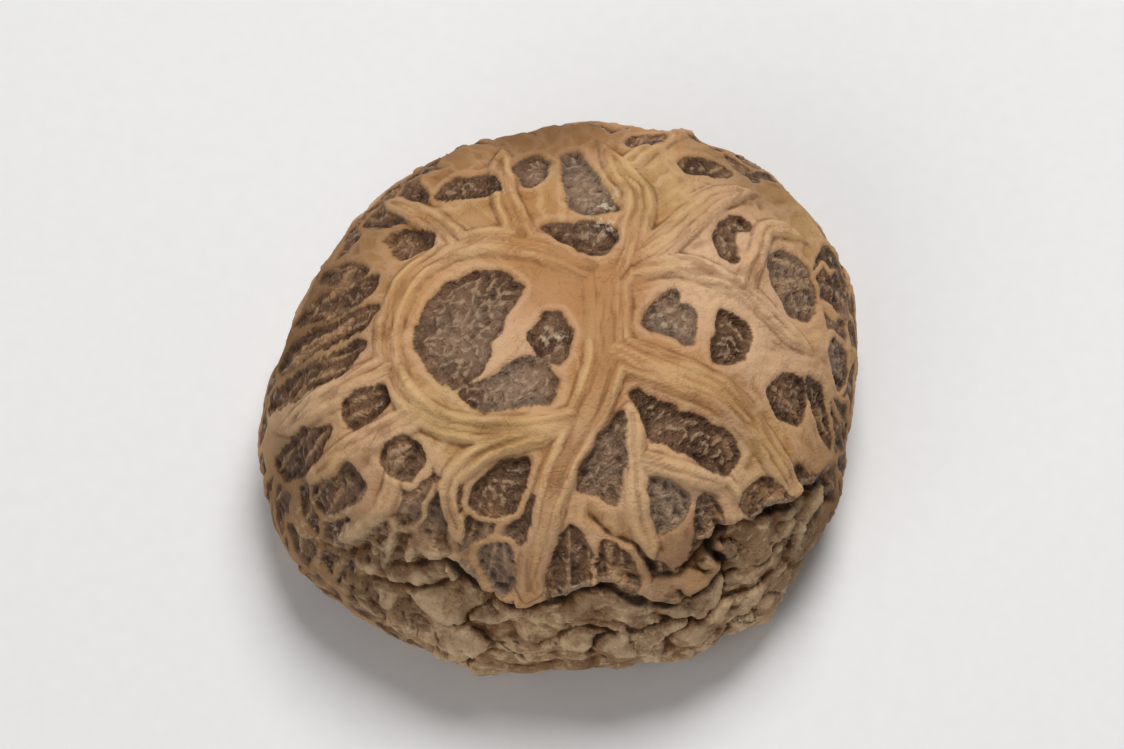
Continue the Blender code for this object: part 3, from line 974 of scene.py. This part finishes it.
def paintSkin():
    paint = Paint("driedCapSkin", cap["colors"])
    rise, peak, layer = paint.rise, paint.peak, paint.layer
    place = paint.place()
    island, vein, crumple, share = layer("island"), layer("vein"), layer("crumple"), layer("share")
    streaks, grain, darkSkinAndShade = layer("streaks"), layer("grain"), layer("darkSkinAndShade")
    hollow, valley = layer("hollow"), layer("valley")
    large = paint.cloud(place, 9.0)
    middling = paint.cloud(place, 2.6, detail=3.0)
    fine = paint.cloud(place, 0.55, detail=4.0, rough=0.6)
    hair = paint.cloud(place, 0.22, detail=3.0, rough=0.6)
    crinkle = peak(paint.cloud(place, 1.1, detail=1.0, bend=0.4), 0.5, 0.03) * rise(middling, 0.45, 0.6)

    # Ridges: golden tan with pinkish, brown and creamy stretches, with a painted highlight along their
    # raised edges and painted shade in the creases and valleys beside them.
    mottle = middling * 0.8 + 0.6
    # Painted shade in the creases beside the ridges and round the islands.
    creaseShade = peak(vein, -0.3, 0.3) + peak(vein, 0.75, 0.2) * 0.6
    creaseShade = creaseShade + peak(island, -1.2, 0.3) * rise(large, 0.45, 0.6) * 0.5
    color = paint.over(paint.colors["ridge"], [
        (rise(large, 0.4, 0.7) * 0.5, "ridgePink"),
        (layer("pink") * mottle * 0.7, "ridgePink"),
        (layer("cream") * mottle * 0.7, "cream"),
        (layer("brown") * mottle * 0.6, "ridgeBrownAndShade"),
        (rise(middling, 0.5, 0.8) * 0.45, "ridgeBrownAndShade"),
        # Painted shade: browner in wide valleys.
        (rise(valley, 0.0, -0.35) * 0.75, "ridgeBrownAndShade"),
        # Painted highlight along the ridges' raised edges.
        (peak(vein, 0.3, 0.3) * rise(middling, 0.65, 0.4) * rise(share, 0.03, 0.15) * 0.4, "crestHighlightAndGrain"),
        # Paler flesh, and a painted highlight on the left flank.
        (layer("pale") * 0.55, "pale"),
        (rise(grain, 0.1, 0.6) * 0.4, "crestHighlightAndGrain"),
        (rise(grain, -0.1, -0.6) * 0.4, "line"),
        (peak(island, -0.4, 0.4) * 0.4, "ridgePink"),
        # Painted shade: darker in those creases.
        (creaseShade * rise(middling, 0.3, 0.6) * 0.55, "line"),
        # Painted shade on the left flank and at the back, with darker skin there as well.
        (darkSkinAndShade * (0.8 - 0.4 * rise(vein, -0.3, 0.3)), "ridgeDarkAndShade"),
        (rise(fine, 0.55, 0.8) * 0.35, "line"),
        (crinkle * 0.16, "line"),
    ])

    # Islands: dark, under a net of paler crests that are partly painted highlight, with painted shade just
    # inside their edges.
    edge = rise(island + (fine - 0.5) * 0.3, -0.12, 0.14)
    skin = paint.over(paint.colors["island"], [
        (rise(middling, 0.35, 0.65), "islandDark"),
        # Paler on the wrinkles' crests: partly painted highlight.
        (rise(hollow, 0.0, 0.1) * 0.7, "islandGreyAndHighlight"),
        (streaks * rise(middling, 0.7, 0.45) * (0.4 + 0.2 * darkSkinAndShade), "streak"),
        (rise(hair, 0.5, 0.8) * 0.4, "islandGreyAndHighlight"),
        # Painted shade just inside the islands' edges, below the ridges.
        (peak(island, 0.1, 0.28) * 0.5, "islandDark"),
        (layer("faded") * 0.55, "bloom"),
        # Painted shade on the islands of the left flank and the back, with darker skin there as well.
        (darkSkinAndShade * (0.5 - 0.5 * streaks), "islandDark"),
    ])
    color = paint.blend(edge, color, skin)

    # The crumpled rim, then painted shade: every pit darker and the fold darkest.
    patches = paint.cloud(place, 1.7, detail=2.0, bend=0.8) + (fine - 0.5) * 0.6
    rim = paint.over(paint.colors["rim"], [
        (rise(middling, 0.35, 0.6), "rimGrey"),
        (rise(large, 0.45, 0.65) * 0.7, "rimBrown"),
        (rise(fine, 0.5, 0.75) * 0.35, "rimBrown"),
        (rise(patches, 0.45, 0.37) * 0.65, "rimPaleAndHighlight"),
        (rise(patches, 0.53, 0.6) * 0.6, "rimStain"),
        (rise(hair, 0.56, 0.68) * 0.45, "line"),
        # Painted shade on the rim at the flanks, with darker skin there as well.
        (darkSkinAndShade * 0.7, "rimDarkAndShade"),
        # Painted highlight on the lumps' tops and painted shade between them.
        (rise(valley, 0.05, 0.4) * 0.5, "rimPaleAndHighlight"),
        (rise(valley, 0.05, -0.35) * 0.8, "line"),
    ])
    color = paint.blend(rise(crumple, 0.15, 0.6) * 0.9, color, rim)
    color = paint.over(color, [
        (rise(share, 1.0, 1.15), "under"),
        # Pale flecks, partly torn flakes and partly painted glints.
        (layer("flakesAndGlints") * rise(fine, 0.5, 0.62) * rise(middling, 0.4, 0.55) * 0.6, "flakeAndGlint"),
        # Painted shade in pits and creases, in the fold and in the rim's cracks.
        (rise(hollow, -0.04, -0.22) * 0.6, "pitShade"),
        (rise(layer("cut"), 0.3, 0.85) * 0.92, "pitShade"),
    ])

    # Fine wrinkles: sharp ones on the islands, faint lines along the ridges.
    faint = fine * 0.7 + hair * 0.4 - crinkle * 0.15
    inputs = {"Vector": place, "Scale": 1400.0}
    cracks = paint.node("ShaderNodeTexVoronoi", {"feature": "DISTANCE_TO_EDGE"}, inputs)
    sharp = fine * 1.3 + rise(cracks, 0.0, 0.25) * 0.4
    rough = rise(edge + crumple * 0.5, 0.0, 1.0)
    height = faint * (1 - rough) + sharp * rough
    paint.give(Base_Color=color, Roughness=0.86 - edge * 0.3, Normal=paint.bump(height, 0.24, 0.9))
    paint.shader.inputs["Specular IOR Level"].default_value = 0.28
    return paint.material


def paintGills():
    paint = Paint("paleGills", gills["colors"])
    place = paint.place()
    fine = paint.cloud(place, 0.4, detail=3.0)
    coats = [(paint.cloud(place, 3.0), "tan"), (paint.rise(fine, 0.5, 0.75) * 0.5, "line")]
    color = paint.over(paint.colors["pale"], coats)
    paint.give(Base_Color=color, Roughness=0.8, Normal=paint.bump(fine, 0.08, 0.6))
    return paint.material


def paintStem():
    paint = Paint("stemFibre", stem["colors"])
    place = paint.place()
    stretched = paint.node("ShaderNodeMapping", inputs={"Vector": place, "Scale": (1, 1, 0.18)})
    strands = paint.cloud(stretched, 0.45, detail=4.0)
    coats = [(paint.cloud(place, 2.5), "tan"), (paint.rise(strands, 0.48, 0.7) * 0.7, "strand")]
    color = paint.over(paint.colors["pale"], coats)
    paint.give(Base_Color=color, Roughness=0.85, Normal=paint.bump(strands, 0.2, 0.8))
    return paint.material


capPiece, middle = makeCap()
capPiece.data.materials.append(paintSkin())
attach(capPiece, "root")
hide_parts("cap")

gillPiece = makeGills(middle)
gillPiece.data.materials.append(paintGills())
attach(gillPiece, "root")
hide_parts("gills")

stemPiece = makeStem(middle)
stemPiece.data.materials.append(paintStem())
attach(stemPiece, "root")
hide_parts("stem")


studio = {
    "floorSize": 3.0,
    "floorColors": {"plain": (236, 236, 237), "speck": (242, 242, 243)},
    "elevation": 66.0,
    "lens": 200.0,
    "distance": 0.545,
    "aimHeight": 0.012,
    "sky": 0.165,
    "lights": {  # place, size, power and colour
        "overhead": ((0.08, 0.28, 0.62), 0.34, 3.3, (1.0, 0.99, 0.97)),
        "fill": ((-0.35, -0.45, 0.45), 0.6, 1.3, (1.0, 1.0, 1.0)),
    },
}


def turnTowards(direction):
    return Vector(direction).to_track_quat("-Z", "Y").to_euler()


def makeFloor():
    bpy.ops.object.select_all(action="DESELECT")
    bpy.ops.mesh.primitive_plane_add(size=studio["floorSize"])
    floor = bpy.context.object
    floor.name = "floor"
    paint = Paint("paleFloor", studio["floorColors"])
    speck = paint.cloud(paint.place(), 1.5, detail=3.0)
    paint.give(Base_Color=paint.over(paint.colors["plain"], [(speck, "speck")]), Roughness=0.55)
    floor.data.materials.append(paint.material)


def addLight(name, place, size, power, color):
    lamp = bpy.data.lights.new(name, "AREA")
    lamp.shape = "DISK"
    lamp.size = size
    lamp.energy = power
    lamp.color = color
    holder = bpy.data.objects.new(name, lamp)
    bpy.context.scene.collection.objects.link(holder)
    holder.location = place
    holder.rotation_euler = turnTowards(-Vector(place))


def addCamera():
    raised = math.radians(studio["elevation"])
    back = Vector((0, -math.cos(raised), math.sin(raised)))
    view = bpy.data.cameras.new("view")
    view.lens = studio["lens"]
    view.clip_start = 0.01
    camera = bpy.data.objects.new("view", view)
    camera.location = Vector((0, 0, studio["aimHeight"])) + back * studio["distance"]
    camera.rotation_euler = turnTowards(-back)
    bpy.context.scene.collection.objects.link(camera)
    bpy.context.scene.camera = camera


def makeStudio():
    makeFloor()
    for name, (place, size, power, color) in studio["lights"].items():
        addLight(name, place, size, power, color)
    world = bpy.data.worlds.new("studioWorld")
    world.use_nodes = True
    background = world.node_tree.nodes["Background"]
    background.inputs["Color"].default_value = (1, 1, 1, 1)
    background.inputs["Strength"].default_value = studio["sky"]
    bpy.context.scene.world = world
    bpy.context.scene.view_settings.view_transform = "Standard"
    addCamera()


makeStudio()
print("studio: ready")
